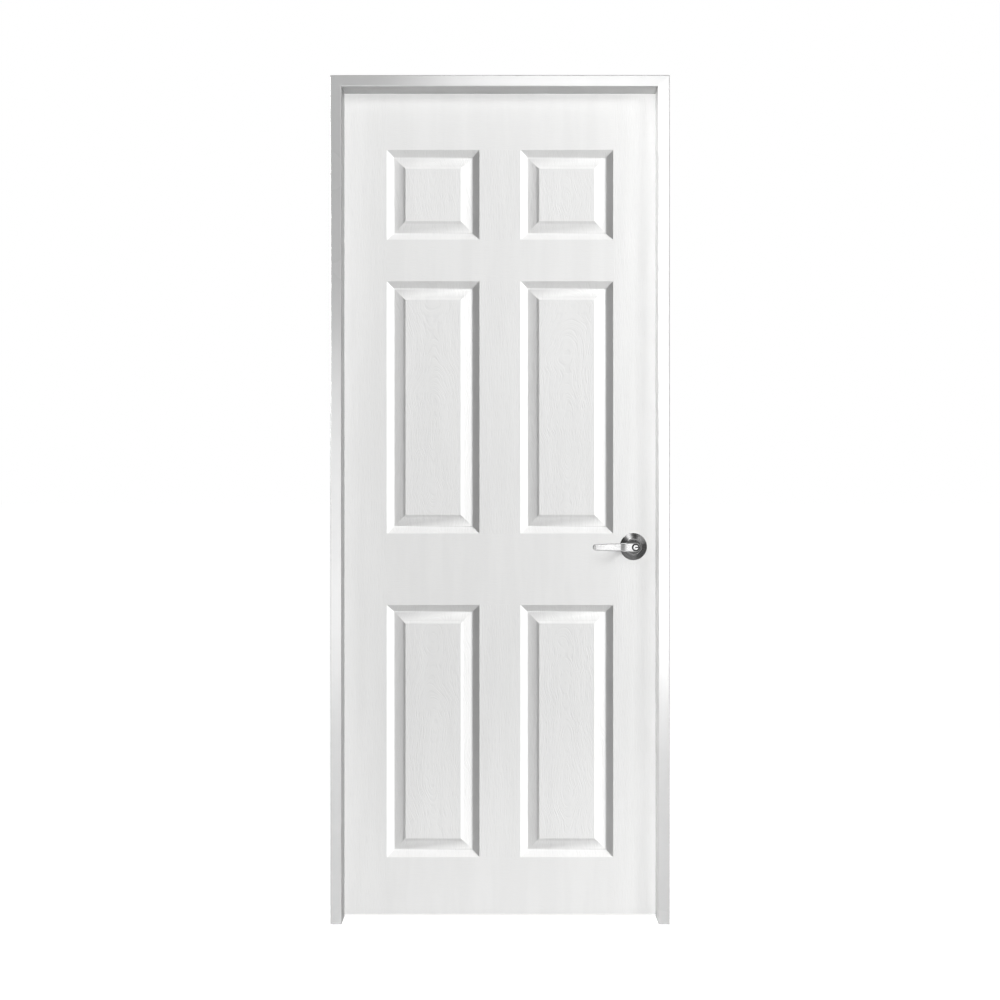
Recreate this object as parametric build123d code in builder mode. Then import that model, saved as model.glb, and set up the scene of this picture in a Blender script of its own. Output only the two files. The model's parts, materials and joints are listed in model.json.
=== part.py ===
from build123d import *
import os

# A moulded six-panel door hung in a rebated frame, with butt hinges and a keyed lever latch set.
# Seen from the front, +X is to the right, +Y to the rear and +Z up. The origin is on the floor, in the
# middle of the doorway, on the middle plane of the closed leaf. Sizes are in millimetres.

# Leaf
leaf_width = 762.0
leaf_height = 1981.0
leaf_thickness = 35.0
skin_thickness = 3.2
timber_width = 32.0
block_margin = 6.5
block_height = 320.0

# Faces of the leaf's stiles and rails, and its panels
stile_face = 108.5
muntin_face = 99.0
top_rail_face = 141.0
frieze_rail_face = 100.0
lock_rail_face = 172.0
bottom_rail_face = 137.0
top_panel_height = 216.0

# Moulding round each panel: a sticking down to a groove, then a bevel and a step up to the raised field
sticking_width = 18.0
bevel_width = 21.0
step_width = 6.0
groove_depth = 10.0
bevel_top_depth = 4.2
field_depth = 1.5
knee_shares = (0.8, 0.88)

# Frame and the gaps round the leaf
jamb_face = 27.0
rebate_depth = 10.0
frame_depth = 100.0
arris_radius = 2.0
side_gap = 3.0
top_gap = 3.0
floor_gap = 5.0
stop_gap = 1.5

# Holes for fixing the frame to a wall
fixing_hole_radius = 3.25
fixing_head_radius = 6.5
fixing_head_angle = 90.0
low_fixing_height = 100.0
top_fixing_drop = 106.0
inner_fixing_share = 4 / 9

# Hinges
hinge_height = 89.0
hinge_plate_width = 28.0
hinge_plate_thickness = 2.2
top_hinge_drop = 150.0
bottom_hinge_rise = 225.0
knuckle_count = 5
knuckle_radius = 5.5
knuckle_reach = 6.5
knuckle_gap = 0.3
pin_radius = 2.9
pin_head_radius = 4.6
pin_head_height = 2.4

# Latch and strike
handle_height = 890.0
backset = 60.0
cross_bore_radius = 27.0
edge_bore_radius = 12.7
faceplate_height = 57.0
faceplate_width = 25.0
faceplate_thickness = 2.0
faceplate_corner = 6.0
case_radius = 12.4
case_wall = 1.0
case_tail = 13.0
bolt_height = 16.0
bolt_width = 13.0
bolt_throw = 10.0
bolt_root = 14.0
bolt_nose = 2.5
fork_gap = 5.2
fork_wall = 2.0
fork_rise = 6.2
fork_height = 3.3
fork_pin_radius = 1.2
finger_length = 10.5
finger_width = 3.0
follower_radius = 6.6
follower_width = 4.0
lever_travel = 57.0
strike_height = 60.0
strike_front = 14.0
strike_thickness = 1.6
strike_lip_height = 32.0
strike_lip_reach = 5.0
strike_lip_turn = 60.0
strike_box_depth = 9.0
strike_box_wall = 1.0

# Lever handles
rose_radius = 32.5
rose_rim = 2.0
rose_height = 10.0
rose_crown_radius = 19.0
rose_wall = 1.2
mount_radius = 25.0
mount_thickness = 3.0
collar_radius = 13.0
collar_height = 8.0
bolt_spacing = 38.0
mount_bolt_radius = 2.0
mount_bolt_head_radius = 3.6
mount_bolt_head_height = 2.0
post_radius = 3.8
post_length = 14.0
spigot_radius = 9.0
lever_projection = 62.0
lever_length = 101.0
lever_head_length = 26.0
lever_bend_length = 9.0
lever_bend_drop = 4.0
lever_head_height = 21.6
lever_arm_height = 18.0
lever_tip_height = 15.2
lever_head_thickness = 17.0
lever_arm_thickness = 10.0
lever_edge_radius = 2.2
neck_flare = 6.5
neck_base_height = 1.5
spindle_width = 8.0
spindle_bore_radius = 2.7
spindle_insert = 14.0

# Key cylinder and its turn button
cylinder_radius = 8.2
cylinder_depth = 22.0
plug_radius = 6.6
plug_proud = 0.6
keyway_length = 8.4
keyway_width = 1.8
keyway_depth = 9.0
button_radius = 6.0
button_depth = 10.0
button_grip_length = 10.4
button_grip_width = 3.0
button_grip_height = 6.0
bar_width = 4.0
bar_thickness = 1.6

# Fits
fit = 0.05
running_fit = 0.1
loose_fit = 0.3
overrun = 1.0

# Places worked out from the sizes above
leaf_front = -leaf_thickness / 2
leaf_back = leaf_thickness / 2
leaf_side = leaf_width / 2
leaf_foot = floor_gap
leaf_head = floor_gap + leaf_height
core_thickness = leaf_thickness - 2 * skin_thickness
panel_width = (leaf_width - 2 * stile_face - muntin_face) / 2
rail_faces = top_rail_face + frieze_rail_face + lock_rail_face + bottom_rail_face
lower_panel_height = (leaf_height - rail_faces - top_panel_height) / 2
moulding_width = sticking_width + bevel_width + step_width
rebate_wall = jamb_face - rebate_depth
rebate_length = leaf_thickness + stop_gap
frame_width = leaf_width + 2 * (side_gap + rebate_wall)
frame_height = leaf_head + top_gap + rebate_wall
hinge_rebate = -leaf_side - side_gap
strike_rebate = leaf_side + side_gap
hinge_axis_x = -leaf_side - side_gap / 2
hinge_axis_y = leaf_back + knuckle_reach
lock_x = leaf_side - backset
outer_fixing_spacing = frame_height - low_fixing_height - top_fixing_drop
inner_fixing_spacing = outer_fixing_spacing * inner_fixing_share
fixing_middle = low_fixing_height + outer_fixing_spacing / 2
fixing_heights = [
    fixing_middle + rise
    for spacing in (outer_fixing_spacing, inner_fixing_spacing)
    for rise in (-spacing / 2, spacing / 2)
]
lowest_hinge = leaf_foot + bottom_hinge_rise + hinge_height / 2
highest_hinge = leaf_head - top_hinge_drop - hinge_height / 2
hinge_heights = {
    "lower": lowest_hinge,
    "middle": (lowest_hinge + highest_hinge) / 2,
    "upper": highest_hinge,
}
frame_mortise_x = hinge_rebate - hinge_plate_thickness / 2
leaf_mortise_x = -leaf_side + hinge_plate_thickness / 2
mortise_y = leaf_back - hinge_plate_width / 2
frame_mortises = [(frame_mortise_x, mortise_y, height) for height in hinge_heights.values()]
leaf_mortises = [(leaf_mortise_x, mortise_y, height) for height in hinge_heights.values()]
strike_depth = strike_front + leaf_back
strike_box_width = bolt_width + 2 * (loose_fit + strike_box_wall)
strike_box_height = bolt_height + 2 * (loose_fit + strike_box_wall)
strike_box_middle = strike_rebate + strike_thickness + strike_box_depth / 2

# Planes: the leaf's front face, the edges and rebates that carry the latch and fixings, and the handle
front_face = Plane(origin=(0, leaf_front, 0), x_dir=(1, 0, 0), z_dir=(0, -1, 0))
hinge_rebate_plane = Plane(origin=(hinge_rebate, 0, 0), x_dir=(0, 1, 0), z_dir=(1, 0, 0))
lock_edge_plane = Plane(origin=(leaf_side, 0, 0), x_dir=(0, 1, 0), z_dir=(1, 0, 0))
strike_rebate_plane = Plane(origin=(strike_rebate, 0, 0), x_dir=(0, 1, 0), z_dir=(-1, 0, 0))
lock_upright = Plane(origin=(lock_x, 0, handle_height), x_dir=(1, 0, 0), z_dir=(0, -1, 0))

os.makedirs("parts", exist_ok=True)


def finish(part, name):
    """Label a finished piece and write its file."""
    part.label = name
    export_step(part, f"parts/{name}.step")


def edge_places(plane, places):
    """Turn (y, height) places on an edge or rebate into locations whose Z points out of the wood."""
    return [plane.shift_origin((plane.origin.X, y, height)) for y, height in places]


# Frame
def frame_section(plane):
    """Section of the frame: local X from the wall face into the doorway, local Y from back to front."""
    with BuildSketch(plane) as section:
        with BuildLine():
            Polyline(
                (0, 0),
                (rebate_wall, 0),
                (rebate_wall, rebate_length),
                (jamb_face, rebate_length),
                (jamb_face, frame_depth),
                (0, frame_depth),
                close=True,
            )
        make_face()
        stop_corner = section.vertices().group_by(Axis.Y)[1].sort_by(Axis.X)[-1]
        fillet([stop_corner, *section.vertices().group_by(Axis.Y)[-1]], radius=arris_radius)
    return section.sketch


hinge_mitre = Plane(origin=(-frame_width / 2, 0, frame_height), x_dir=(0, 1, 0), z_dir=(1, 0, 1))
strike_mitre = Plane(origin=(frame_width / 2, 0, frame_height), x_dir=(0, 1, 0), z_dir=(-1, 0, 1))
fixing_places = [(0, height) for height in fixing_heights]

with BuildPart() as hinge_jamb:
    jamb_plane = Plane(origin=(-frame_width / 2, leaf_back, 0), x_dir=(1, 0, 0), z_dir=(0, 0, -1))
    extrude(frame_section(jamb_plane), amount=-frame_height)
    split(bisect_by=hinge_mitre, keep=Keep.BOTTOM)
    with Locations(*edge_places(hinge_rebate_plane, fixing_places)):
        CounterSinkHole(fixing_hole_radius, fixing_head_radius, rebate_wall + overrun, fixing_head_angle)
    with Locations(*frame_mortises):
        Box(hinge_plate_thickness, hinge_plate_width, hinge_height, mode=Mode.SUBTRACT)
finish(hinge_jamb.part, "hinge_jamb")

with BuildPart() as strike_jamb:
    jamb_plane = Plane(origin=(frame_width / 2, leaf_back, 0), x_dir=(-1, 0, 0), z_dir=(0, 0, 1))
    extrude(frame_section(jamb_plane), amount=frame_height)
    split(bisect_by=strike_mitre, keep=Keep.BOTTOM)
    with Locations(*edge_places(strike_rebate_plane, fixing_places)):
        CounterSinkHole(fixing_hole_radius, fixing_head_radius, rebate_wall + overrun, fixing_head_angle)
    with Locations((strike_rebate + strike_thickness / 2, leaf_back - strike_depth / 2, handle_height)):
        Box(strike_thickness, strike_depth, strike_height, mode=Mode.SUBTRACT)
    with Locations((strike_box_middle, 0, handle_height)):
        Box(strike_box_depth, strike_box_width, strike_box_height, mode=Mode.SUBTRACT)
finish(strike_jamb.part, "strike_jamb")

with BuildPart() as head_jamb:
    head_plane = Plane(origin=(0, leaf_back, frame_height), x_dir=(0, 0, -1), z_dir=(-1, 0, 0))
    extrude(frame_section(head_plane), amount=frame_width / 2, both=True)
    split(bisect_by=hinge_mitre, keep=Keep.TOP)
    split(bisect_by=strike_mitre, keep=Keep.TOP)
finish(head_jamb.part, "head_jamb")

# Moulded skins
lower_rows = [
    leaf_foot + bottom_rail_face,
    leaf_foot + bottom_rail_face + lower_panel_height + lock_rail_face,
]
panel_rows = [(foot, lower_panel_height) for foot in lower_rows]
panel_rows.append((leaf_head - top_rail_face - top_panel_height, top_panel_height))
panel_x = (muntin_face + panel_width) / 2
panels = [(x, foot, height) for x in (-panel_x, panel_x) for foot, height in panel_rows]


def moulding_line(sink):
    """Draw the moulding from the panel's edge to its raised field, the given distance below the skin."""
    knee = (knee_shares[0] * sticking_width, -sink - knee_shares[1] * groove_depth)
    groove = (sticking_width, -sink - groove_depth)
    slope = Line((0, -sink), knee)
    TangentArc(knee, groove, tangent=slope % 1)
    Polyline(
        groove,
        (sticking_width + bevel_width, -sink - bevel_top_depth),
        (moulding_width, -sink - field_depth),
    )


with BuildPart() as front_skin:
    with BuildSketch(front_face):
        with Locations((0, leaf_foot + leaf_height / 2)):
            Rectangle(leaf_width, leaf_height)
        for x, foot, height in panels:
            with Locations((x, foot + height / 2)):
                Rectangle(panel_width, height, mode=Mode.SUBTRACT)
        with Locations((lock_x, handle_height)):
            Circle(cross_bore_radius, mode=Mode.SUBTRACT)
    extrude(amount=-skin_thickness)
    with BuildSketch(front_face.offset(-field_depth)):
        for x, foot, height in panels:
            with Locations((x, foot + height / 2)):
                Rectangle(panel_width - 2 * moulding_width, height - 2 * moulding_width)
    extrude(amount=-skin_thickness)
    for x, foot, height in panels:
        with BuildLine(front_face) as edge:
            Polyline(
                (x, foot),
                (x + panel_width / 2, foot),
                (x + panel_width / 2, foot + height),
                (x - panel_width / 2, foot + height),
                (x - panel_width / 2, foot),
                close=True,
            )
        section_plane = Plane(origin=(x, leaf_front, foot), x_dir=(0, 0, 1), z_dir=(1, 0, 0))
        with BuildSketch(section_plane) as moulding:
            with BuildLine():
                moulding_line(0)
                moulding_line(skin_thickness)
                Line((0, 0), (0, -skin_thickness))
                Line((moulding_width, -field_depth), (moulding_width, -field_depth - skin_thickness))
            make_face()
        sweep(moulding.sketch, path=edge.wire(), transition=Transition.RIGHT)
finish(front_skin.part, "front_skin")

with BuildPart() as rear_skin:
    mirror(front_skin.part, about=Plane.XZ)
    with Locations(*leaf_mortises):
        Box(hinge_plate_thickness, hinge_plate_width, hinge_height, mode=Mode.SUBTRACT)
finish(rear_skin.part, "rear_skin")

# Timber frame between the skins
with BuildPart() as hinge_stile:
    with Locations((-leaf_side + timber_width / 2, 0, leaf_foot + leaf_height / 2)):
        Box(timber_width, core_thickness, leaf_height)
    with Locations(*leaf_mortises):
        Box(hinge_plate_thickness, hinge_plate_width, hinge_height, mode=Mode.SUBTRACT)
finish(hinge_stile.part, "hinge_stile")


def faceplate_outline():
    """Draw the latch's face plate on the lock edge, centred on the handle's height."""
    with BuildSketch(lock_edge_plane) as outline:
        with Locations((0, handle_height)):
            RectangleRounded(faceplate_width, faceplate_height, faceplate_corner)
    return outline.sketch


with BuildPart() as lock_stile:
    with Locations((leaf_side - timber_width / 2, 0, leaf_foot + leaf_height / 2)):
        Box(timber_width, core_thickness, leaf_height)
    extrude(faceplate_outline(), amount=-faceplate_thickness, mode=Mode.SUBTRACT)
    with Locations(*edge_places(lock_edge_plane, [(0, handle_height)])):
        Hole(edge_bore_radius, timber_width + overrun)
    with Locations(lock_upright.offset(leaf_thickness / 2)):
        Hole(cross_bore_radius, leaf_thickness)
finish(lock_stile.part, "lock_stile")

rail_length = leaf_width - 2 * timber_width
rail_heights = {"top_rail": leaf_head - timber_width / 2, "bottom_rail": leaf_foot + timber_width / 2}
for name, height in rail_heights.items():
    with BuildPart() as rail:
        with Locations((0, 0, height)):
            Box(rail_length, core_thickness, timber_width)
    finish(rail.part, name)

block_width = stile_face - timber_width - block_margin
with BuildPart() as lock_block:
    with Locations((leaf_side - timber_width - block_width / 2, 0, handle_height)):
        Box(block_width, core_thickness, block_height)
    with Locations(lock_upright.offset(leaf_thickness / 2)):
        Hole(cross_bore_radius, leaf_thickness)
    with Locations(*edge_places(lock_edge_plane, [(0, handle_height)])):
        Hole(edge_bore_radius, backset)
finish(lock_block.part, "lock_block")


# Hinges
def hinge_leaf(height, side, knuckles):
    """Make one plate of a butt hinge: side is -1 on the frame and 1 on the leaf."""
    plate_x = hinge_axis_x + side * (side_gap + hinge_plate_thickness) / 2
    knuckle_length = (hinge_height - (knuckle_count - 1) * knuckle_gap) / knuckle_count
    first_knuckle = height - (hinge_height - knuckle_length) / 2
    knuckle_heights = [first_knuckle + number * (knuckle_length + knuckle_gap) for number in knuckles]
    with BuildPart() as leaf:
        with Locations((plate_x, leaf_back - hinge_plate_width / 2, height)):
            Box(hinge_plate_thickness, hinge_plate_width, hinge_height)
        with Locations(*((plate_x, leaf_back + knuckle_reach / 2, z) for z in knuckle_heights)):
            Box(hinge_plate_thickness, knuckle_reach, knuckle_length)
        with Locations(*((hinge_axis_x, hinge_axis_y, z) for z in knuckle_heights)):
            Cylinder(knuckle_radius, knuckle_length)
        with Locations((hinge_axis_x, hinge_axis_y, height)):
            Cylinder(pin_radius + fit, hinge_height + overrun, mode=Mode.SUBTRACT)
    return leaf.part


def hinge_pin(height):
    """Make a hinge pin with a button head at each end."""
    shank_end = hinge_height / 2
    middle = (hinge_axis_x, hinge_axis_y, height)
    with BuildPart() as pin:
        with BuildSketch(Plane(origin=middle, x_dir=(1, 0, 0), z_dir=(0, -1, 0))):
            with BuildLine():
                upper = Polyline(
                    (0, shank_end + pin_head_height),
                    (pin_head_radius, shank_end + pin_head_height),
                    (pin_head_radius, shank_end),
                    (pin_radius, shank_end),
                    (pin_radius, 0),
                )
                mirror(upper, about=Plane.XZ)
                Line((0, shank_end + pin_head_height), (0, -shank_end - pin_head_height))
            make_face()
        revolve(axis=Axis(middle, (0, 0, 1)))
    return pin.part


for name, height in hinge_heights.items():
    finish(hinge_leaf(height, -1, range(0, knuckle_count, 2)), f"{name}_hinge_frame_leaf")
    finish(hinge_leaf(height, 1, range(1, knuckle_count, 2)), f"{name}_hinge_door_leaf")
    finish(hinge_pin(height), f"{name}_hinge_pin")


# Latch
with BuildPart() as latch_faceplate:
    extrude(faceplate_outline(), amount=-faceplate_thickness)
    with Locations((leaf_side, 0, handle_height)):
        Box(
            2 * faceplate_thickness + overrun,
            bolt_width + 2 * loose_fit,
            bolt_height + 2 * loose_fit,
            mode=Mode.SUBTRACT,
        )
finish(latch_faceplate.part, "latch_faceplate")

case_end = leaf_side - faceplate_thickness
case_length = case_end - lock_x + case_tail
with BuildPart() as latch_case:
    case_mouth = Plane(origin=(case_end, 0, handle_height), x_dir=(0, 1, 0), z_dir=(-1, 0, 0))
    with BuildSketch(case_mouth):
        Circle(case_radius)
    extrude(amount=case_length)
    with BuildSketch(case_mouth):
        Circle(case_radius - case_wall)
    extrude(amount=case_length - case_wall, mode=Mode.SUBTRACT)
    with Locations(lock_upright.offset(leaf_thickness / 2)):
        Hole(follower_radius + loose_fit, leaf_thickness)
finish(latch_case.part, "latch_case")

# The bolt's fork straddles the follower's finger, which stands half the lever's travel off upright
bolt_back = leaf_side - bolt_root
fork_reach = fork_rise + fork_height / 2
finger_lean = lever_travel / 2
finger_edge = Vector(-finger_width / 2, fork_reach).rotate(Axis.Z, -finger_lean)
fork_pin_x = lock_x + finger_edge.X - fork_pin_radius - loose_fit
with BuildPart() as latch_bolt:
    with BuildSketch(Plane.XY.offset(handle_height - bolt_height / 2)):
        with BuildLine():
            Polyline(
                (bolt_back, -bolt_width / 2),
                (leaf_side, -bolt_width / 2),
                (leaf_side + bolt_throw, bolt_width / 2 - bolt_nose),
                (leaf_side + bolt_throw, bolt_width / 2),
                (bolt_back, bolt_width / 2),
                close=True,
            )
        make_face()
    extrude(amount=bolt_height)
    fork_length = bolt_back - fork_pin_x + fork_pin_radius
    fork_middle = bolt_back - fork_length / 2
    fork_y = (fork_gap + fork_wall) / 2
    with Locations(*((fork_middle, y, handle_height + fork_reach) for y in (-fork_y, fork_y))):
        Box(fork_length, fork_wall, fork_height)
    with Locations(Plane(origin=(fork_pin_x, 0, handle_height + fork_reach), z_dir=(0, 1, 0))):
        Cylinder(fork_pin_radius, fork_gap + 2 * fork_wall)
finish(latch_bolt.part, "latch_bolt")

# Strike
with BuildPart() as strike_plate:
    with BuildSketch(Plane.XY.offset(handle_height - strike_height / 2)):
        with Locations((strike_rebate + strike_thickness / 2, leaf_back - strike_depth / 2)):
            Rectangle(strike_thickness, strike_depth)
    extrude(amount=strike_height)
    with BuildSketch(Plane.XY.offset(handle_height - strike_lip_height / 2)):
        with BuildLine():
            inner = JernArc((strike_rebate, leaf_back), (0, 1), strike_lip_reach, -strike_lip_turn)
            outer = JernArc(
                (strike_rebate + strike_thickness, leaf_back),
                (0, 1),
                strike_lip_reach - strike_thickness,
                -strike_lip_turn,
            )
            Line(inner @ 0, outer @ 0)
            Line(inner @ 1, outer @ 1)
        make_face()
    extrude(amount=strike_lip_height)
    with Locations((strike_rebate, 0, handle_height)):
        Box(
            2 * strike_thickness + overrun,
            bolt_width + 2 * loose_fit,
            bolt_height + 2 * loose_fit,
            mode=Mode.SUBTRACT,
        )
finish(strike_plate.part, "strike_plate")

with BuildPart() as strike_box:
    with Locations((strike_box_middle, 0, handle_height)):
        Box(strike_box_depth, strike_box_width, strike_box_height)
    with Locations((strike_box_middle - strike_box_wall / 2, 0, handle_height)):
        Box(
            strike_box_depth - strike_box_wall,
            strike_box_width - 2 * strike_box_wall,
            strike_box_height - 2 * strike_box_wall,
            mode=Mode.SUBTRACT,
        )
finish(strike_box.part, "strike_box")


# Lever handles: side is -1 at the front and 1 at the rear
def handle_centre(side):
    """Point where the handle's axis meets the leaf's face."""
    return (lock_x, side * leaf_thickness / 2, handle_height)


def face_plane(side):
    """Plane on the leaf's face at the handle: local X to the right, local Z out of the leaf."""
    return Plane(origin=handle_centre(side), x_dir=(1, 0, 0), z_dir=(0, side, 0))


def turning_plane(side):
    """Plane through the handle's axis: local X to the right, local Y out of the leaf."""
    return Plane(origin=handle_centre(side), x_dir=(1, 0, 0), z_dir=(0, 0, side))


def turning_axis(side):
    """Axis that the handle turns on, pointing out of the leaf."""
    return Axis(handle_centre(side), (0, side, 0))


bolt_places = [(0, -bolt_spacing / 2), (0, bolt_spacing / 2)]


def rose(side):
    """Make the coned cover plate, a pressed shell."""
    with BuildPart() as cover:
        with BuildSketch(turning_plane(side)):
            with BuildLine():
                Polyline(
                    (rose_radius, 0),
                    (rose_radius, rose_rim),
                    (rose_crown_radius, rose_height),
                    (collar_radius + loose_fit, rose_height),
                    (collar_radius + loose_fit, rose_height - rose_wall),
                    (rose_crown_radius - rose_wall / 2, rose_height - rose_wall),
                    (rose_radius - rose_wall, rose_rim - rose_wall / 2),
                    (rose_radius - rose_wall, 0),
                    close=True,
                )
            make_face()
        revolve(axis=turning_axis(side))
    return cover.part


def mounting_plate(side):
    """Make the plate under a rose: the front one has posts that take the bolts."""
    with BuildPart() as plate:
        with BuildSketch(face_plane(side)):
            Circle(mount_radius)
        extrude(amount=mount_thickness)
        with BuildSketch(face_plane(side)):
            Circle(collar_radius)
        extrude(amount=collar_height)
        if side < 0:
            with BuildSketch(face_plane(side)):
                with Locations(*bolt_places):
                    Circle(post_radius)
            extrude(amount=-post_length)
        with BuildSketch(face_plane(side).offset(-post_length)):
            Circle(spigot_radius + running_fit)
        extrude(amount=post_length + collar_height, mode=Mode.SUBTRACT)
        with BuildSketch(face_plane(side).offset(-post_length)):
            with Locations(*bolt_places):
                Circle(mount_bolt_radius + fit)
        extrude(amount=post_length + mount_thickness, mode=Mode.SUBTRACT)
    return plate.part


def lever(side, core_radius, core_depth):
    """Make a lever handle with a socket for the spindle and a bore for what turns in its head."""
    arm_start = lever_head_length + lever_bend_length
    arm_front = lever_projection - lever_bend_drop
    head_back = lever_projection - lever_head_thickness
    neck_start = rose_height + loose_fit
    with BuildPart() as handle:
        with BuildSketch(face_plane(side)):
            with BuildLine():
                upper = Polyline(
                    (0, lever_head_height / 2),
                    (-lever_head_length, lever_head_height / 2),
                    (-arm_start, lever_arm_height / 2),
                    (lever_tip_height / 2 - lever_length, lever_tip_height / 2),
                )
                mirror(upper, about=Plane.XZ)
                ThreePointArc(upper @ 1, (-lever_length, 0), (upper @ 1) - (0, lever_tip_height))
                ThreePointArc(upper @ 0, (lever_head_height / 2, 0), (upper @ 0) - (0, lever_head_height))
            make_face()
        extrude(amount=lever_projection)
        with BuildSketch(turning_plane(side)):
            with BuildLine():
                Polyline(
                    (lever_head_height, lever_projection),
                    (-lever_head_length, lever_projection),
                    (-arm_start, arm_front),
                    (-lever_length - overrun, arm_front),
                    (-lever_length - overrun, arm_front - lever_arm_thickness),
                    (-arm_start, arm_front - lever_arm_thickness),
                    (-lever_head_length / 2, head_back),
                    (lever_head_height, head_back),
                    close=True,
                )
            make_face()
        extrude(amount=lever_head_height, both=True, mode=Mode.INTERSECT)
        front = handle.faces().filter_by(
            lambda face: face.center().Y * side > leaf_thickness / 2 + arm_front - lever_edge_radius
        )
        fillet(front.edges(), radius=lever_edge_radius)
        with BuildSketch(turning_plane(side)):
            with BuildLine():
                Polyline(
                    (0, neck_start),
                    (lever_head_height / 2 + neck_flare, neck_start),
                    (lever_head_height / 2 + neck_flare, neck_start + neck_base_height),
                    (lever_head_height / 2, neck_start + neck_base_height + neck_flare),
                    (lever_head_height / 2, head_back),
                    (0, head_back),
                    close=True,
                )
            make_face()
        revolve(axis=turning_axis(side))
        with BuildSketch(face_plane(side).offset(fit)):
            Circle(spigot_radius)
        extrude(amount=neck_start)
        with BuildSketch(face_plane(side).offset(lever_projection)):
            Circle(core_radius + fit)
        extrude(amount=-core_depth - fit, mode=Mode.SUBTRACT)
        with BuildSketch(face_plane(side)):
            Rectangle(spindle_width + 2 * fit, spindle_width + 2 * fit)
        extrude(amount=neck_start + spindle_insert + fit, mode=Mode.SUBTRACT)
        with BuildSketch(face_plane(side)):
            Circle(spindle_bore_radius)
        extrude(amount=lever_projection - core_depth, mode=Mode.SUBTRACT)
    return handle.part


for name, side in (("outside", -1), ("inside", 1)):
    finish(rose(side), f"{name}_rose")
    finish(mounting_plate(side), f"{name}_mounting_plate")
finish(lever(-1, cylinder_radius, cylinder_depth), "outside_lever")
finish(lever(1, button_radius, button_depth), "inside_lever")

with BuildPart() as mounting_bolts:
    bolt_length = leaf_thickness + mount_thickness
    with BuildSketch(face_plane(1).offset(mount_thickness)):
        with Locations(*bolt_places):
            Circle(mount_bolt_radius)
    extrude(amount=-bolt_length)
    with BuildSketch(face_plane(1).offset(mount_thickness)):
        with Locations(*bolt_places):
            Circle(mount_bolt_head_radius)
    extrude(amount=mount_bolt_head_height)
finish(mounting_bolts.part, "mounting_bolts")

spindle_reach = rose_height + loose_fit + spindle_insert
with BuildPart() as spindle:
    with BuildSketch(lock_upright):
        Rectangle(spindle_width, spindle_width)
        Circle(spindle_bore_radius, mode=Mode.SUBTRACT)
    extrude(amount=leaf_thickness / 2 + spindle_reach, both=True)
finish(spindle.part, "spindle")

with BuildPart() as latch_follower:
    with BuildSketch(lock_upright):
        Circle(follower_radius)
        with Locations(Location((0, 0, 0), (0, 0, -finger_lean))):
            Rectangle(finger_width, finger_length, align=(Align.CENTER, Align.MIN))
        Rectangle(spindle_width + 2 * fit, spindle_width + 2 * fit, mode=Mode.SUBTRACT)
    extrude(amount=follower_width / 2, both=True)
finish(latch_follower.part, "latch_follower")

# Key cylinder, its plug, and the bar that joins the plug to the turn button
plug_back = lever_projection - cylinder_depth
with BuildPart() as key_cylinder:
    with BuildSketch(face_plane(-1).offset(plug_back)):
        Circle(cylinder_radius)
        Circle(plug_radius + running_fit, mode=Mode.SUBTRACT)
    extrude(amount=cylinder_depth)
finish(key_cylinder.part, "key_cylinder")

with BuildPart() as key_plug:
    with BuildSketch(face_plane(-1).offset(plug_back)):
        Circle(plug_radius)
    extrude(amount=cylinder_depth + plug_proud)
    with BuildSketch(face_plane(-1).offset(lever_projection + plug_proud)):
        SlotOverall(keyway_length, keyway_width)
    extrude(amount=-keyway_depth, mode=Mode.SUBTRACT)
finish(key_plug.part, "key_plug")

button_back = lever_projection - button_depth
with BuildPart() as turn_button:
    with BuildSketch(face_plane(1).offset(button_back)):
        Circle(button_radius - running_fit)
    extrude(amount=button_depth)
    with BuildSketch(face_plane(1).offset(lever_projection)):
        SlotOverall(button_grip_length, button_grip_width)
    extrude(amount=button_grip_height)
finish(turn_button.part, "turn_button")

with BuildPart() as locking_bar:
    with BuildSketch(face_plane(1).offset(button_back)):
        Rectangle(bar_width, bar_thickness)
    extrude(amount=-button_back - leaf_thickness - plug_back)
finish(locking_bar.part, "locking_bar")
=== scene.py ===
"""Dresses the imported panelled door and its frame: moulded skins, handles, screws, finishes and a studio."""

import json
import logging
import math
from collections.abc import Callable, Sequence
from dataclasses import dataclass
from enum import Enum
from functools import reduce

import bmesh
import bpy
from mathutils import Matrix, Vector


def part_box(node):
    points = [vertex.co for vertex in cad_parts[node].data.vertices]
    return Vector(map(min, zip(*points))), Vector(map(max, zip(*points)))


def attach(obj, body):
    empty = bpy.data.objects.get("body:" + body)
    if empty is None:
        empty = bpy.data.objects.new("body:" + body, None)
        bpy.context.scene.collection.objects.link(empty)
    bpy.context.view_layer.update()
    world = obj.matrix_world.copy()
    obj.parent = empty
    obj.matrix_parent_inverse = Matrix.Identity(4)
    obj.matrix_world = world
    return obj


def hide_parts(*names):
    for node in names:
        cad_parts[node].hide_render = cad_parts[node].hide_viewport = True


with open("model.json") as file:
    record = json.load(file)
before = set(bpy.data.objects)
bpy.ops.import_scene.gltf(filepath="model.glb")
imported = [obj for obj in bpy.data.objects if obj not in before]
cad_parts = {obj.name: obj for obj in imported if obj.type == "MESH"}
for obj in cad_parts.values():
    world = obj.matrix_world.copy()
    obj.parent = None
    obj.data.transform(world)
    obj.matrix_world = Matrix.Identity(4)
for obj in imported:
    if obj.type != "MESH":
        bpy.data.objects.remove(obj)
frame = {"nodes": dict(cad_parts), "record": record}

log = logging.getLogger("panelled_door")

MM = 0.001
HAIR = 0.01 * MM
Pair = tuple[float, float]
Point = tuple[float, float, float]
Colour = tuple[float, float, float]
Piece = bpy.types.Object
Material = bpy.types.Material
Socket = bpy.types.NodeSocket


def grey(value: float) -> Colour:
    """Give a neutral colour."""
    return (value, value, value)


class Side(Enum):
    """The two faces of the leaf, by the way they face along Y."""

    OUTSIDE = -1
    INSIDE = 1


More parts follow.
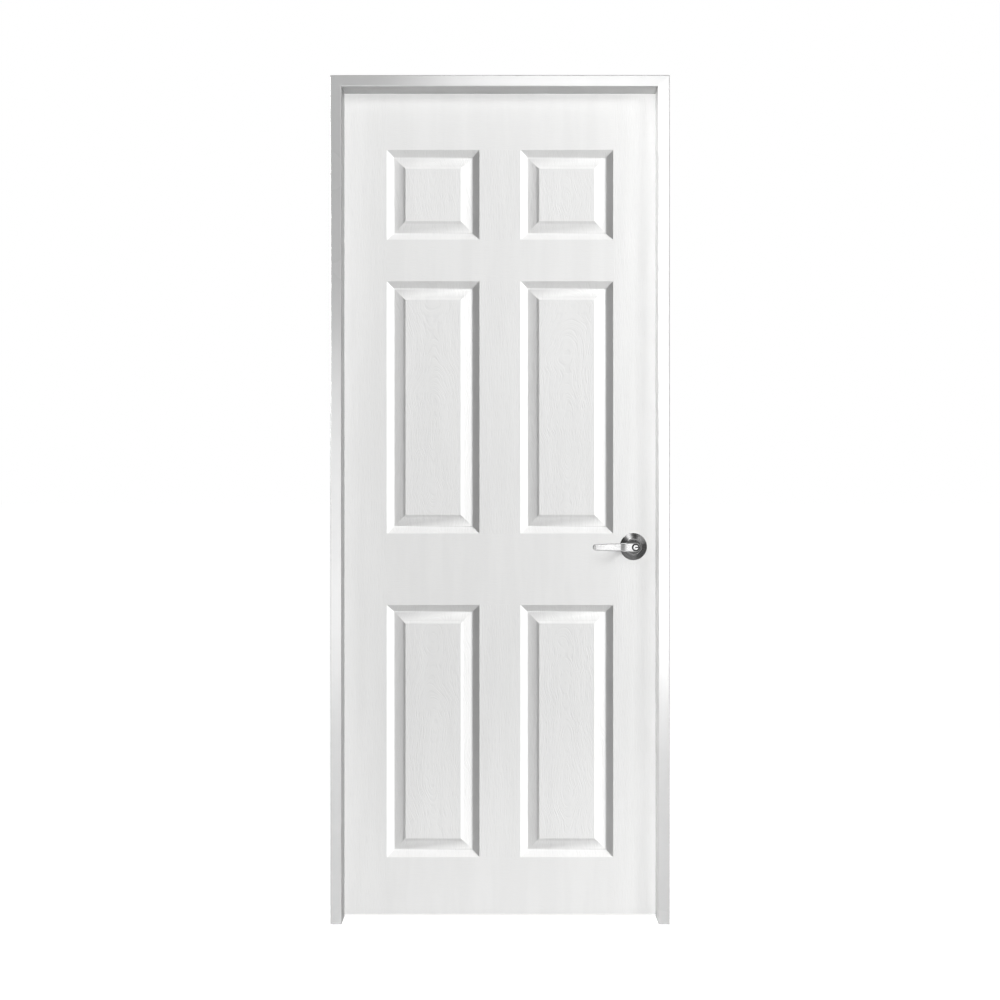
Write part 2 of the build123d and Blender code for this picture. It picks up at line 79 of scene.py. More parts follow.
class Brushing(Enum):
    """The way a metal's fine marks run."""

    LEVEL = "along the lever"
    UPRIGHT = "up the plate"
    TURNED = "round the handle's axis"


class Reach(Enum):
    """What a light does with the objects in its group."""

    ONLY = "INCLUDE"
    NOT = "EXCLUDE"


class Part(Enum):
    """The parts of a mesh that are picked out by a test."""

    FACE = "faces"
    EDGE = "edges"


class Bench:
    """The modelling bench: holds one piece at a time and selects its parts by place."""

    @staticmethod
    def clear() -> None:
        """Deselect every object."""
        bpy.ops.object.select_all(action="DESELECT")

    @staticmethod
    def take(piece: Piece) -> None:
        """Make a piece the only selected object, and the active one.

        Args:
            piece: The object to take.
        """
        Bench.clear()
        piece.select_set(True)
        bpy.context.view_layer.objects.active = piece

    @staticmethod
    def open(piece: Piece) -> None:
        """Take a piece into edit mode with all of it selected.

        Args:
            piece: The object to open.
        """
        Bench.take(piece)
        bpy.ops.object.mode_set(mode="EDIT")
        bpy.ops.mesh.select_mode(type="FACE")
        bpy.ops.mesh.select_all(action="SELECT")

    @staticmethod
    def close() -> None:
        """Go back to object mode."""
        bpy.ops.object.mode_set(mode="OBJECT")

    @staticmethod
    def named(name: str) -> Piece:
        """Name the object that an operator has just added.

        Args:
            name: The new name.

        Returns:
            The object.
        """
        piece = bpy.context.view_layer.objects.active
        piece.name = piece.data.name = name
        return piece

    @staticmethod
    def settle(piece: Piece) -> None:
        """Put a piece's place, turn and scale into its mesh."""
        Bench.take(piece)
        bpy.ops.object.transform_apply(location=True, rotation=True, scale=True)

    @staticmethod
    def block(name: str, place: Point, size: Point, turn: float = 0.0) -> Piece:
        """Add a block at its size and place, to be shaped or cut with.

        Args:
            name: The block's name.
            place: Its middle.
            size: Its length along each axis.
            turn: Its turn about Z.

        Returns:
            The block.
        """
        Bench.clear()
        bpy.ops.mesh.primitive_cube_add(size=1, location=place, rotation=(0, 0, turn))
        piece = Bench.named(name)
        piece.scale = size
        Bench.settle(piece)
        return piece

    @staticmethod
    def pick(piece: Piece, kind: Part, test: Callable[..., bool]) -> None:
        """Select the faces or the edges that pass a test, in edit mode.

        Args:
            piece: The object in edit mode.
            kind: The parts to select.
            test: Says whether a part is wanted.
        """
        bpy.ops.mesh.select_mode(type=kind.name)
        bpy.ops.mesh.select_all(action="DESELECT")
        mesh = bmesh.from_edit_mesh(piece.data)
        for part in getattr(mesh, kind.value):
            part.select_set(test(part))
        mesh.select_flush_mode()
        bmesh.update_edit_mesh(piece.data)

    @staticmethod
    def copy(piece: Piece, name: str) -> Piece:
        """Copy a piece with a mesh of its own.

        Args:
            piece: The object to copy.
            name: The copy's name.

        Returns:
            The copy, in the scene.
        """
        twin = piece.copy()
        twin.data = piece.data.copy()
        twin.name = twin.data.name = name
        bpy.context.scene.collection.objects.link(twin)
        return twin

    @staticmethod
    def cut(piece: Piece, cutter: Piece, union: bool = False) -> None:
        """Cut a piece with another, or join the two, and throw the other away.

        Args:
            piece: The object that stays.
            cutter: The object that is used up.
            union: True to join them.
        """
        Bench.take(piece)
        modifier = piece.modifiers.new("cut", "BOOLEAN")
        modifier.operation = "UNION" if union else "DIFFERENCE"
        modifier.solver = "EXACT"
        modifier.object = cutter
        bpy.ops.object.modifier_apply(modifier=modifier.name)
        bpy.data.objects.remove(cutter)

    @staticmethod
    def join(pieces: Sequence[Piece], name: str) -> Piece:
        """Join pieces into one object.

        Args:
            pieces: The objects, of which the first one stays.
            name: The joined object's name.

        Returns:
            The joined object.
        """
        Bench.take(pieces[0])
        for piece in pieces[1:]:
            piece.select_set(True)
        bpy.ops.object.join()
        return Bench.named(name)

    @staticmethod
    def smooth(piece: Piece, degrees: float) -> None:
        """Shade a piece smooth below an angle, with its broad faces kept flat.

        Args:
            piece: The object to shade.
            degrees: The angle above which an edge stays sharp.
        """
        Bench.take(piece)
        bpy.ops.object.shade_smooth_by_angle(angle=math.radians(degrees))
        modifier = piece.modifiers.new("flat faces", "WEIGHTED_NORMAL")
        modifier.weight = 100
        modifier.keep_sharp = True
        bpy.ops.object.modifier_apply(modifier=modifier.name)

    @staticmethod
    def spin(name: str, profile: Sequence[Pair], foot: Point, side: Side, steps: int) -> Piece:
        """Spin a profile about an axis along Y into a closed shape.

        Args:
            name: The new object's name.
            profile: Points (radius, height above the foot), from axis to axis or round a closed ring.
            foot: The point on the axis that heights are measured from.
            side: The way that heights go.
            steps: The number of steps in a full turn.

        Returns:
            The spun object.
        """
        Bench.clear()
        bpy.ops.mesh.primitive_plane_add(size=MM, location=(0, 0, 0))
        piece = Bench.named(name)
        places = [Vector(foot) + Vector((radius, side.value * height, 0)) for radius, height in profile]
        Bench.open(piece)
        bpy.ops.mesh.merge(type="CENTER")
        bpy.ops.mesh.select_mode(type="VERT")
        bpy.ops.mesh.select_all(action="SELECT")
        bpy.ops.transform.translate(value=places[0])
        for before, after in zip(places, places[1:]):
            bpy.ops.mesh.extrude_region_move(TRANSFORM_OT_translate={"value": after - before})
        bpy.ops.mesh.select_all(action="SELECT")
        bpy.ops.mesh.spin(steps=steps, angle=math.tau, center=foot, axis=(0, 1, 0))
        bpy.ops.mesh.select_all(action="SELECT")
        bpy.ops.mesh.remove_doubles(threshold=HAIR)
        bpy.ops.mesh.normals_make_consistent(inside=False)
        Bench.close()
        return piece

    @staticmethod
    def dress(piece: Piece, material: Material, body: str, slot: str, node: str = "") -> None:
        """Give a finished piece its material, and say what carries it.

        Args:
            piece: The finished object.
            material: Its material.
            body: The CAD body that it rides on.
            slot: The record's slot that its finish is from; not used.
            node: The CAD node that it stands for, if any.
        """
        piece.data.materials.clear()
        piece.data.materials.append(material)
        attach(piece, body)
        if node:
            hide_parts(node)


class Nodes:
    """Builds a node tree from short calls."""

    def __init__(self, tree: bpy.types.NodeTree) -> None:
        """Take up a node tree."""
        self.tree = tree

    def fill(self, node: bpy.types.Node, values: dict[str | int, object]) -> None:
        """Link or set a node's inputs.

        Args:
            node: The node.
            values: Sockets or plain values, by the input's name or number.
        """
        for key, value in values.items():
            if isinstance(value, Socket):
                self.tree.links.new(value, node.inputs[key])
            else:
                node.inputs[key].default_value = value

    def add(self, kind: str, values: dict[str | int, object], out: str | int = 0,
            **settings: object) -> Socket:
        """Add a node.

        Args:
            kind: The node's type.
            values: Sockets or plain values, by the input's name or number.
            out: The name or number of the output that is wanted.
            **settings: Properties of the node.

        Returns:
            The output.
        """
        node = self.tree.nodes.new(kind)
        for key, value in settings.items():
            setattr(node, key, value)
        self.fill(node, values)
        return node.outputs[out]

    def maths(self, operation: str, *values: object) -> Socket:
        """Work out a number from sockets and numbers, in the Math node's order."""
        return self.add("ShaderNodeMath", dict(enumerate(values)), operation=operation)


class Surface(Nodes):
    """A material's nodes, with its shader and the Object coordinates at hand."""

    def __init__(self, name: str) -> None:
        """Start a material.

        Args:
            name: The material's name.
        """
        self.material = bpy.data.materials.new(name)
        self.material.use_nodes = True
        super().__init__(self.material.node_tree)
        self.shader = self.tree.nodes["Principled BSDF"]
        self.place = self.add("ShaderNodeTexCoord", {}, "Object")

    def total(self, *values: object) -> Socket:
        """Add sockets and numbers up."""
        return reduce(lambda so_far, value: self.maths("ADD", so_far, value), values)

    def blend(self, share: Socket, first: object, second: object) -> Socket:
        """Go from the first number to the second as share goes from 0 to 1."""
        return self.add("ShaderNodeMix", {0: share, 2: first, 3: second}, data_type="FLOAT")

    def tint(self, share: Socket, first: Colour, second: Colour) -> Socket:
        """Go from one colour to another as share goes from 0 to 1."""
        colours = {0: share, 6: (*first, 1.0), 7: (*second, 1.0)}
        return self.add("ShaderNodeMix", colours, 2, data_type="RGBA")

    def parts(self, vector: Socket) -> list[Socket]:
        """Take a vector apart."""
        return list(self.add("ShaderNodeSeparateXYZ", {0: vector}).node.outputs)

    def vector(self, *values: Socket) -> Socket:
        """Put three numbers together as a vector."""
        return self.add("ShaderNodeCombineXYZ", dict(enumerate(values)))

    def stretch(self, vector: Socket, scale: Point) -> Socket:
        """Scale a vector along its axes."""
        return self.add("ShaderNodeMapping", {"Vector": vector, "Scale": scale})

    def noise(self, vector: Socket, scale: float, detail: float = 2.0, roughness: float = 0.5) -> Socket:
        """Give a smooth random number at each place, about 0.5 on average."""
        values = {"Vector": vector, "Scale": scale, "Detail": detail, "Roughness": roughness}
        return self.add("ShaderNodeTexNoise", values, "Fac")

    def lines(self, vector: Socket, scale: Point, detail: float = 2.0, roughness: float = 0.5) -> Socket:
        """Give a smooth random number that is drawn out along the axes."""
        return self.noise(self.stretch(vector, scale), 1.0, detail, roughness)

    def ramp(self, value: Socket, low: float, high: float, bottom: float = 0.0, top: float = 1.0) -> Socket:
        """Spread the numbers from low to high smoothly over the range from bottom to top."""
        values = dict(enumerate((value, low, high, bottom, top)))
        return self.add("ShaderNodeMapRange", values, interpolation_type="SMOOTHSTEP")

    def relief(self, height: Socket, strength: float, depth: float) -> None:
        """Give the surface a bump, whose height from 0 to 1 stands for depth in metres."""
        bump = {"Strength": strength, "Distance": depth, "Height": height}
        self.set(Normal=self.add("ShaderNodeBump", bump))

    def set(self, **values: object) -> None:
        """Set or link the shader's sockets, with underscores for the spaces in their names."""
        self.fill(self.shader, {key.replace("_", " "): value for key, value in values.items()})


class Finish:
    """A finish, which is made as one material."""

    name: str

    def lay(self, nodes: Surface) -> None:
        """Fill in the material's nodes."""
        raise NotImplementedError

    def build(self) -> Material:
        """Make the material.

        Returns:
            The finished material.
        """
        nodes = Surface(self.name)
        self.lay(nodes)
        return nodes.material


@dataclass(frozen=True)
class LeafLayout:
    """Where the leaf's faces, stiles, rails and panels lie, in metres."""

    left: float
    right: float
    front: float
    foot: float
    head: float
    stile: float = 108.5 * MM
    muntin: float = 99 * MM
    top_rail: float = 141 * MM
    frieze_rail: float = 100 * MM
    lock_rail: float = 172 * MM
    bottom_rail: float = 137 * MM
    top_panel: float = 216 * MM
    skin: float = 3.2 * MM

    @classmethod
    def from_frame(cls) -> "LeafLayout":
        """Read the leaf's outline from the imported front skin."""
        low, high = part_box("front_skin")
        return cls(low.x, high.x, low.y, low.z, high.z)

    @property
    def columns(self) -> list[Pair]:
        """The panels' left and right edges."""
        return [(self.left + self.stile, -self.muntin / 2), (self.muntin / 2, self.right - self.stile)]

    @property
    def rows(self) -> list[Pair]:
        """The panels' lower and upper edges.

        Returns:
            The edges of each row, from the bottom row up.
        """
        rails = self.top_rail + self.frieze_rail + self.lock_rail + self.bottom_rail
        tall = (self.head - self.foot - rails - self.top_panel) / 2
        first = self.foot + self.bottom_rail
        second = first + tall + self.lock_rail
        third = self.head - self.top_rail - self.top_panel
        return [(first, first + tall), (second, second + tall), (third, third + self.top_panel)]

    @property
    def rails(self) -> list[Pair]:
        """The rails' lower and upper edges, from the bottom rail up."""
        edges = [self.foot, *(edge for row in self.rows for edge in row), self.head]
        return list(zip(edges[0::2], edges[1::2]))


@dataclass(frozen=True)
class LeafPaint(Finish):
    """Satin white paint over embossed oak grain: upright on stiles and in panels, level on rails."""

    layout: LeafLayout
    light: Colour = (0.86, 0.86, 0.855)
    dark: Colour = (0.80, 0.80, 0.795)
    arch: float = 0.13
    arch_foot: float = 0.35
    drift: float = 0.09
    sway: float = 0.05
    panel_force: float = 0.6
    stile_force: float = 0.4
    muntin_force: float = 0.5
    rail_force: float = 0.25
    streak_scale: Point = (240, 40, 16)
    pore_scale: Point = (520, 60, 46)
    figure_scale: Point = (70, 20, 3)
    smear_scale: Point = (26, 26, 3.2)
    sway_scale: Point = (5, 5, 1.2)
    grain_depth: float = 0.5 * MM
    name = "leaf_paint"

    def lay(self, nodes: Surface) -> None:
        """Lay the paint over the grain.

        Args:
            nodes: The material's nodes.
        """
        across, along, depth, force = self.grain_lines(nodes)
        grain = nodes.vector(across, depth, along)
        streaks = nodes.ramp(nodes.lines(grain, self.streak_scale, 3.0, 0.6), 0.38, 0.66)
        pores = nodes.ramp(nodes.lines(grain, self.pore_scale, 1.0), 0.5, 0.64)
        figure = nodes.lines(grain, self.figure_scale)
        height = nodes.total(
            nodes.maths("MULTIPLY", streaks, 0.45),
            nodes.maths("MULTIPLY", pores, -0.6),
            nodes.maths("MULTIPLY", figure, 0.4),
        )
        smear = nodes.ramp(nodes.lines(nodes.place, self.smear_scale, 3.0, 0.6), 0.35, 0.65)
        dark_pores = nodes.maths("MULTIPLY", pores, force)
        shade = nodes.maths("MULTIPLY_ADD", dark_pores, 0.4, nodes.maths("MULTIPLY", smear, 0.4))
        wear = nodes.noise(nodes.place, 5.0, 4.0, 0.6)
        nodes.set(
            Base_Color=nodes.tint(shade, self.light, self.dark),
            Roughness=nodes.ramp(wear, 0.3, 0.7, 0.4, 0.52),
        )
        nodes.relief(nodes.maths("MULTIPLY", height, force), 0.55, self.grain_depth)

    @staticmethod
    def within(nodes: Surface, place: Socket, limits: Pair) -> Socket:
        """Give 1 between two limits and 0 elsewhere."""
        return nodes.maths("COMPARE", place, sum(limits) / 2, (limits[1] - limits[0]) / 2)

    def grain_lines(self, nodes: Surface) -> tuple[Socket, ...]:
        """Work out places across and along the grain.

        Args:
            nodes: The material's nodes.

        Returns:
            The place across the grain, the place along it, the depth in the leaf, and the grain's force.
        """
        layout = self.layout
        x, y, z = nodes.parts(nodes.place)
        aside = nodes.maths("ABSOLUTE", x)
        column = layout.columns[1]
        in_rows = [self.within(nodes, z, row) for row in layout.rows]
        in_rails = [self.within(nodes, z, rail) for rail in layout.rails]
        in_panel = nodes.maths("MULTIPLY", self.within(nodes, aside, column), nodes.total(*in_rows))
        between_stiles = nodes.maths("LESS_THAN", aside, column[1])
        in_rail = nodes.maths("MULTIPLY", between_stiles, nodes.total(*in_rails))
        arch_feet = [
            nodes.maths("MULTIPLY", inside, row[0] + self.arch_foot * (row[1] - row[0]))
            for inside, row in zip(in_rows, layout.rows)
        ]
        rise = nodes.maths("SUBTRACT", z, nodes.total(*arch_feet))
        centre = nodes.maths("MULTIPLY", nodes.maths("SIGN", x), sum(column) / 2)
        offset = nodes.maths("SUBTRACT", x, centre)
        squares = nodes.total(
            nodes.maths("MULTIPLY", offset, offset),
            nodes.maths("POWER", nodes.maths("MULTIPLY", rise, self.arch), 2.0),
        )
        arches = nodes.maths("SQRT", squares)
        drift = nodes.maths("MULTIPLY_ADD", nodes.noise(nodes.place, 5.5), self.drift, -self.drift / 2)
        sway = nodes.maths("MULTIPLY", nodes.lines(nodes.place, self.sway_scale), self.sway)
        upright = nodes.blend(in_panel, nodes.total(x, sway), nodes.total(arches, drift))
        across = nodes.blend(in_rail, upright, nodes.total(z, sway))
        along = nodes.blend(in_rail, z, x)
        force = nodes.blend(between_stiles, self.stile_force, self.muntin_force)
        force = nodes.blend(in_rail, force, self.rail_force)
        force = nodes.blend(in_panel, force, self.panel_force)
        return across, along, y, force


@dataclass(frozen=True)
class FramePaint(Finish):
    """Smooth pale lacquer on the frame: a sheen on its broad faces, duller in the reveals."""

    light: Colour = grey(0.62)
    dark: Colour = grey(0.58)
    matt: float = 0.85
    inner_coat: float = 0.4
    coat_roughness: float = 0.22
    coat_ior: float = 3.2
    peel_depth: float = 0.05 * MM
    name = "frame_paint"

    def lay(self, nodes: Surface) -> None:
        """Lay the lacquer on.

        Args:
            nodes: The material's nodes.
        """
        cloud = nodes.noise(nodes.place, 7.0, 3.0)
        peel = nodes.noise(nodes.place, 420.0, 1.0)
        facing = nodes.parts(nodes.add("ShaderNodeTexCoord", {}, "Normal"))[1]
        broad = nodes.maths("GREATER_THAN", nodes.maths("ABSOLUTE", facing), 0.5)
        nodes.set(
            Base_Color=nodes.tint(nodes.ramp(cloud, 0.35, 0.65), self.light, self.dark),
            Roughness=nodes.blend(broad, self.matt, nodes.ramp(cloud, 0.3, 0.7, 0.2, 0.28)),
            Coat_Weight=nodes.blend(broad, self.inner_coat, 1.0),
            Coat_Roughness=self.coat_roughness,
            Coat_IOR=self.coat_ior,
        )
        nodes.relief(peel, 0.12, self.peel_depth)


@dataclass(frozen=True)
class Timber(Finish):
    """Planed softwood, with growth rings along the piece."""

    early: Colour = (0.72, 0.54, 0.34)
    late: Colour = (0.52, 0.33, 0.17)
    ring_scale: Point = (3, 60, 60)
    fibre_scale: Point = (18, 900, 900)
    fibre_depth: float = 0.15 * MM
    name = "raw_timber"

    def lay(self, nodes: Surface) -> None:
        """Draw the rings and the fibres.

        Args:
            nodes: The material's nodes.
        """
        rings = nodes.noise(nodes.stretch(nodes.place, self.ring_scale), 1.6, 3.0, 0.6)
        fibres = nodes.lines(nodes.place, self.fibre_scale)
        nodes.set(
            Base_Color=nodes.tint(nodes.ramp(rings, 0.42, 0.62), self.early, self.late),
            Roughness=nodes.ramp(fibres, 0.3, 0.7, 0.55, 0.72),
        )
        nodes.relief(fibres, 0.4, self.fibre_depth)


@dataclass(frozen=True)
class Metal(Finish):
    """A plated or plain metal with fine marks left by its finishing."""

    name: str
    light: Colour
    dark: Colour
    smooth: float
    rough: float
    brushing: Brushing
    axis: Pair = (0.0, 0.0)
    fine: float = 1800
    drawn_out: float = 40
    turned: float = 0.8
    mark_depth: float = 0.02 * MM

    def lay(self, nodes: Surface) -> None:
        """Draw the marks and a light haze.

        Args:
            nodes: The material's nodes.
        """
        marks = nodes.noise(self.mark_lines(nodes), 1.0, 3.0, 0.65)
        haze = nodes.noise(nodes.place, 45.0, 3.0, 0.6)
        nodes.set(
            Base_Color=nodes.tint(nodes.ramp(haze, 0.3, 0.7), self.light, self.dark),
            Metallic=1.0,
            Roughness=nodes.ramp(marks, 0.3, 0.7, self.smooth, self.rough),
        )
        nodes.relief(marks, 0.35, self.mark_depth)

    def mark_lines(self, nodes: Surface) -> Socket:
        """Stretch the places so that random numbers become fine lines.

        Args:
            nodes: The material's nodes.

        Returns:
            The stretched places.
        """
        if self.brushing is Brushing.LEVEL:
            return nodes.stretch(nodes.place, (self.drawn_out, self.fine, self.fine))
        if self.brushing is Brushing.UPRIGHT:
            return nodes.stretch(nodes.place, (self.fine, self.fine, self.drawn_out))
        x, y, z = nodes.parts(nodes.place)
        offset = nodes.maths("SUBTRACT", x, self.axis[0])
        rise = nodes.maths("SUBTRACT", z, self.axis[1])
        squares = nodes.total(nodes.maths("MULTIPLY", offset, offset), nodes.maths("MULTIPLY", rise, rise))
        turn = nodes.maths("ARCTAN2", rise, offset)
        round_axis = nodes.vector(nodes.maths("SQRT", squares), turn, y)
        return nodes.stretch(round_axis, (self.fine, self.turned, self.fine))


@dataclass(frozen=True)
class Plastic(Finish):
    """Matt moulded plastic with a fine spark texture."""

    light: Colour = (0.035, 0.035, 0.036)
    dark: Colour = grey(0.022)
    grit_scale: float = 2600.0
    grit_depth: float = 0.04 * MM
    name = "dust_box_plastic"

    def lay(self, nodes: Surface) -> None:
        """Draw the texture.

        Args:
            nodes: The material's nodes.
        """
        grit = nodes.noise(nodes.place, self.grit_scale)
        nodes.set(
            Base_Color=nodes.tint(grit, self.light, self.dark),
            Roughness=nodes.ramp(grit, 0.3, 0.7, 0.5, 0.66),
        )
        nodes.relief(grit, 0.4, self.grit_depth)


@dataclass
class MouldedSkin:
    """The leaf's two moulded sheets, each with six raised panels."""

    layout: LeafLayout
    handle: Pair
    sticking: float = 18 * MM
    bevel: float = 21 * MM
    step: float = 6 * MM
    groove_depth: float = 10 * MM
    bevel_top: float = 4.2 * MM
    field_depth: float = 1.5 * MM
    knee: Pair = (14.4 * MM, 8.8 * MM)
    curve_steps: int = 3
    arris: float = 0.5 * MM
    arris_steps: int = 3
    bore: float = 27 * MM
    bore_sides: int = 64
    cutter_length: float = 200 * MM
    hinge_plate: Point = (2.2 * MM, 28 * MM, 89 * MM)
    sharp_angle: float = 15

    def moulding(self) -> list[Pair]:
        """Draw the moulding from the panel's edge to its field.

        Returns:
            Points (distance in from the edge, depth below the face).
        """
        knee = Vector(self.knee)
        slope = knee.normalized()
        across = Vector((slope.y, -slope.x))
        chord = Vector((self.sticking, self.groove_depth)) - knee
        radius = chord.length_squared / (2 * across.dot(chord))
        centre = knee + across * radius
        sweep = 2 * math.asin(chord.length / (2 * radius))
        curve = []
        for number in range(1, self.curve_steps + 1):
            turn = Matrix.Rotation(-sweep * number / self.curve_steps, 2)
            curve.append(tuple(centre + turn @ (knee - centre)))
        return [
            (0.0, 0.0),
            self.knee,
            *curve,
            (self.sticking + self.bevel, self.bevel_top),
            (self.sticking + self.bevel + self.step, self.field_depth),
        ]

    def in_panel(self, face: bmesh.types.BMFace) -> bool:
        """Say whether a face is within a panel's outline, seen from the front."""
        place, layout = face.calc_center_median(), self.layout
        return any(a < place.x < b for a, b in layout.columns) and any(
            a < place.z < b for a, b in layout.rows
        )

    def on_arris(self, edge: bmesh.types.BMEdge) -> bool:
        """Say whether an edge is one of the moulding's sharp lines.

        Args:
            edge: An edge of the sheet.

        Returns:
            True if it is.
        """
        field_edge = self.sticking + self.bevel
        insets = (0.0, self.sticking, field_edge, field_edge + self.step)
        first, second = (vertex.co for vertex in edge.verts)
        if abs(first.y - second.y) > HAIR:
            return False
        middle = (first + second) / 2
        for left, right in self.layout.columns:
            for low, high in self.layout.rows:
                if left - MM < middle.x < right + MM and low - MM < middle.z < high + MM:
                    inset = min(middle.x - left, right - middle.x, middle.z - low, high - middle.z)
                    return any(abs(inset - wanted) < 2 * HAIR for wanted in insets)
        return False

    def build_sheet(self) -> Piece:
        """Model the front sheet: cut a plane at the panels' edges, and inset the panels along the moulding.

        Returns:
            The sheet, with its thickness.
        """
        layout = self.layout
        middle = ((layout.left + layout.right) / 2, layout.front, (layout.foot + layout.head) / 2)
        Bench.clear()
        bpy.ops.mesh.primitive_plane_add(size=1, location=middle, rotation=(math.pi / 2, 0, 0))
        sheet = Bench.named("leaf_front_face")
        sheet.scale = (layout.right - layout.left, layout.head - layout.foot, 1)
        Bench.settle(sheet)
        Bench.open(sheet)
        for spans, along in ((layout.columns, Vector((1, 0, 0))), (layout.rows, Vector((0, 0, 1)))):
            for edge in (edge for span in spans for edge in span):
                bpy.ops.mesh.select_all(action="SELECT")
                bpy.ops.mesh.bisect(plane_co=along * edge, plane_no=along)
        Bench.pick(sheet, Part.FACE, self.in_panel)
        line = self.moulding()
        for before, after in zip(line, line[1:]):
            bpy.ops.mesh.inset(thickness=after[0] - before[0], depth=before[1] - after[1])
        Bench.pick(sheet, Part.EDGE, self.on_arris)
        bpy.ops.mesh.bevel(
            offset=self.arris, offset_type="OFFSET", segments=self.arris_steps, affect="EDGES"
        )
        bpy.ops.mesh.select_all(action="SELECT")
        bpy.ops.mesh.extrude_region_move(TRANSFORM_OT_translate={"value": (0, layout.skin, 0)})
        bpy.ops.mesh.select_all(action="SELECT")
        bpy.ops.mesh.normals_make_consistent(inside=False)
        Bench.close()
        return sheet

    def bore_for_handle(self, sheet: Piece) -> None:
        """Cut the hole that the handle's fixings pass through.

        Args:
            sheet: One of the sheets.
        """
        Bench.clear()
        bpy.ops.mesh.primitive_cylinder_add(
            vertices=self.bore_sides,
            radius=self.bore,
            depth=self.cutter_length,
            location=(self.handle[0], 0, self.handle[1]),
            rotation=(math.pi / 2, 0, 0),
        )
        Bench.cut(sheet, Bench.named("bore_cutter"))

    def let_in_hinges(self, sheet: Piece, nodes: Sequence[str]) -> None:
        """Cut the sheet back where hinge plates are let into the leaf's edge.

        Args:
            sheet: The rear sheet.
            nodes: The names of the plates' CAD nodes.
        """
        thickness, width, height = self.hinge_plate
        for node in nodes:
            low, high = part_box(node)
            place = (self.layout.left, 0, (low.z + high.z) / 2)
            Bench.cut(sheet, Bench.block("hinge_cutter", place, (2 * thickness, 2 * width, height)))

    def build(self, paint: Material, hinge_nodes: Sequence[str]) -> list[Piece]:
        """Model both sheets and dress them.

        Args:
            paint: The leaf's paint.
            hinge_nodes: The names of the hinge plates let into the leaf.

        Returns:
            The two sheets.
        """
        front = self.build_sheet()
        rear = Bench.copy(front, "leaf_rear_face")
        Bench.open(rear)
        bpy.ops.transform.rotate(value=math.pi, orient_axis="Z", center_override=(0, 0, 0))
        Bench.close()
        self.let_in_hinges(rear, hinge_nodes)
        for sheet, node in ((front, "front_skin"), (rear, "rear_skin")):
            self.bore_for_handle(sheet)
            Bench.smooth(sheet, self.sharp_angle)
            Bench.dress(sheet, paint, "door_leaf", "leaf_paint", node)
        return [front, rear]


